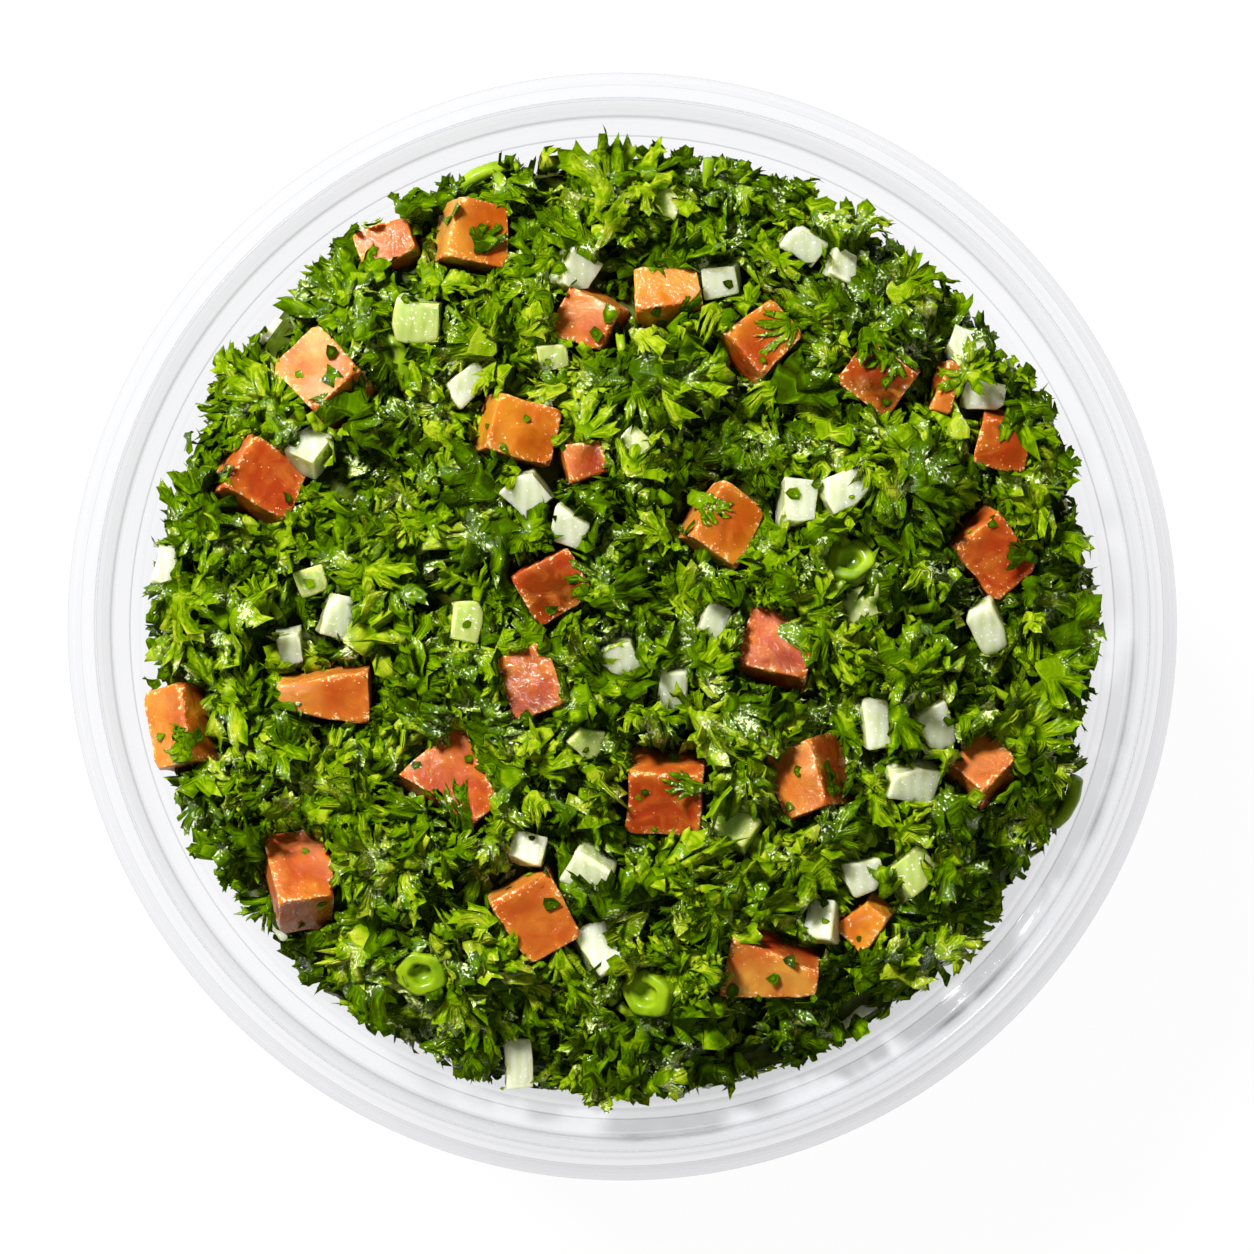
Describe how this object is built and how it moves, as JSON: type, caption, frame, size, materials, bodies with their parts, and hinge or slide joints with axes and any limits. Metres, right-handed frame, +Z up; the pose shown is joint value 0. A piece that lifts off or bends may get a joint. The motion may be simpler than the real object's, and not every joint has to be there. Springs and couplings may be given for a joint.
{
  "type": "tabbouleh salad",
  "caption": "Clear round deli tub with a stepped snap rim, heaped above its rim with chopped parsley salad set with tomato, onion and cucumber dice.",
  "frame": {"origin": "centre of the underside of the tub's foot, on the surface it stands on", "axes": "+Z up; +X right and +Y away from the front, as the salad is seen from above"},
  "size_m": [0.117, 0.117, 0.0577],
  "materials": {
    "clear_tub": "clear, smooth and glossy, like moulded polyester",
    "parsley": "wet, glossy chopped leaf, veined and crinkled",
    "tomato": "wet cut tomato flesh, a little translucent",
    "onion": "wet cut white onion, translucent",
    "cucumber": "wet cut cucumber with a greener rim",
    "stem": "wet cut stem and spring onion, smooth and bright"
  },
  "bodies": {
    "root": {"tub": "clear_tub", "salad_heap": "parsley", "tomato_dice_01": "tomato", "tomato_dice_02": "tomato", "tomato_dice_03": "tomato", "tomato_dice_04": "tomato", "tomato_dice_05": "tomato", "tomato_dice_06": "tomato", "tomato_dice_07": "tomato", "tomato_dice_08": "tomato", "tomato_dice_09": "tomato", "tomato_dice_10": "tomato", "tomato_dice_11": "tomato", "tomato_dice_12": "tomato", "tomato_dice_13": "tomato", "tomato_dice_14": "tomato", "tomato_dice_15": "tomato", "tomato_dice_16": "tomato", "tomato_dice_17": "tomato", "tomato_dice_18": "tomato", "tomato_dice_19": "tomato", "tomato_dice_20": "tomato", "tomato_dice_21": "tomato", "tomato_dice_22": "tomato", "tomato_dice_23": "tomato", "tomato_dice_24": "tomato", "tomato_dice_25": "tomato", "tomato_dice_26": "tomato", "tomato_dice_27": "tomato"}
  },
  "joints": []
}
